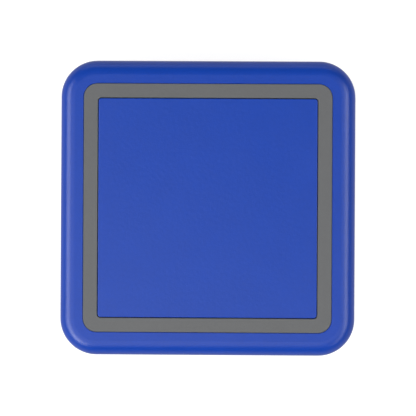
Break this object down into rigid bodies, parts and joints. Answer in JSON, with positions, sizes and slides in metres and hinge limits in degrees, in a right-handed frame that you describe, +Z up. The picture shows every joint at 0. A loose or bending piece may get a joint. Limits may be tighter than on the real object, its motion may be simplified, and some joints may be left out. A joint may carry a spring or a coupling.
{
  "type": "demagnetizer",
  "caption": "Square pad demagnetizer with a press plate inside a gray light ring, rounded blue case, rubber feet and a rear supply socket.",
  "frame": {"origin": "on the table under the middle of the case, at the feet's undersides", "axes": "+Z up through the press plate, +Y to the back where the supply socket is, +X to the right of someone facing the front"},
  "size_m": [0.1, 0.1, 0.038],
  "materials": {
    "case_plastic": "satin moulded ABS, blue",
    "ring_plastic": "matt gray light-guide plastic",
    "base_plastic": "matt gray ABS",
    "foot_rubber": "soft rubber",
    "label_film": "blank printed film",
    "screw_steel": "zinc plated",
    "spring_steel": "bright drawn wire",
    "flux_steel": "mild steel",
    "carrier_nylon": "glass-filled nylon",
    "bobbin_nylon": "natural nylon",
    "copper_wire": "enamelled copper",
    "lead_insulation": "silicone insulation",
    "board_laminate": "green solder mask",
    "lamp_plastic": "white lamp package",
    "sheet_film": "polyester film",
    "can_aluminium": "drawn",
    "sleeve_film": "heat-shrink sleeve",
    "bung_rubber": "hard rubber",
    "tinned_wire": "tinned",
    "ferrite": "sintered ferrite",
    "winding_tape": "polyester tape",
    "chip_epoxy": "moulded epoxy",
    "part_ceramic": "chip ceramic",
    "resistor_coat": "lacquered",
    "socket_plastic": "moulded",
    "pin_brass": "nickelled brass",
    "terminal_plastic": "moulded",
    "header_plastic": "moulded"
  },
  "bodies": {
    "housing": {"base_tray": "base_plastic", "bleed_resistors": "resistor_coat", "board_screws": "screw_steel", "capacitor_bung_left": "bung_rubber", "capacitor_bung_right": "bung_rubber", "capacitor_can_left": "can_aluminium", "capacitor_can_right": "can_aluminium", "capacitor_leads": "tinned_wire", "capacitor_sleeve_left": "sleeve_film", "capacitor_sleeve_right": "sleeve_film", "carrier_frame": "carrier_nylon", "carrier_screws": "screw_steel", "case_screws": "screw_steel", "coil_bobbin": "bobbin_nylon", "coil_leads": "lead_insulation", "coil_winding": "copper_wire", "control_chips": "chip_epoxy", "core_screw": "screw_steel", "core_slug": "flux_steel", "flux_plate": "flux_steel", "foot_back_left": "foot_rubber", "foot_back_right": "foot_rubber", "foot_front_left": "foot_rubber", "foot_front_right": "foot_rubber", "inductor_drum": "ferrite", "inductor_shield": "ferrite", "insulating_sheet": "sheet_film", "light_board": "board_laminate", "light_leds": "lamp_plastic", "light_ring": "ring_plastic", "link_header": "header_plastic", "link_plug": "header_plastic", "link_wires": "lead_insulation", "main_board": "board_laminate", "plate_spring_back_left": "spring_steel", "plate_spring_back_right": "spring_steel", "plate_spring_front_left": "spring_steel", "plate_spring_front_right": "spring_steel", "rating_label": "label_film", "resistor_leads": "tinned_wire", "small_parts": "part_ceramic", "socket_body": "socket_plastic", "socket_pin": "pin_brass", "solder_pins": "tinned_wire", "switch_body": "socket_plastic", "terminal_body": "terminal_plastic", "terminal_screws": "screw_steel", "thyristor_body": "chip_epoxy", "thyristor_leads": "tinned_wire", "thyristor_tab": "tinned_wire", "top_housing": "case_plastic", "transformer_bobbin": "chip_epoxy", "transformer_core": "ferrite", "transformer_winding": "winding_tape"},
    "plate": {"press_plate": "case_plastic", "post_washers": "screw_steel", "post_screws": "screw_steel"},
    "lever": {"switch_lever": "spring_steel"},
    "plunger": {"switch_plunger": "terminal_plastic"}
  },
  "joints": [
    {"name": "plate_press", "type": "slide", "parent": "housing", "child": "plate", "axis": [0, 0, -1], "range_m": [0, 0.0015], "stiffness_N_per_m": 2000, "springref_m": -0.00075, "deforming": ["plate_spring_back_left", "plate_spring_back_right", "plate_spring_front_left", "plate_spring_front_right"]},
    {"name": "lever_swing", "type": "hinge", "parent": "housing", "child": "lever", "pos_m": [-0.0054, -0.0345, 0.01545], "axis": [0, 1, 0], "range_deg": [0, 7.7]},
    {"name": "plunger_slide", "type": "slide", "parent": "housing", "child": "plunger", "axis": [0, 0, -1], "range_m": [0, 0.00045]}
  ],
  "couplings": [
    {"joint": "lever_swing", "follows": "plate_press", "rad_per_m": 88.3},
    {"joint": "plunger_slide", "follows": "plate_press", "ratio": 0.29}
  ]
}
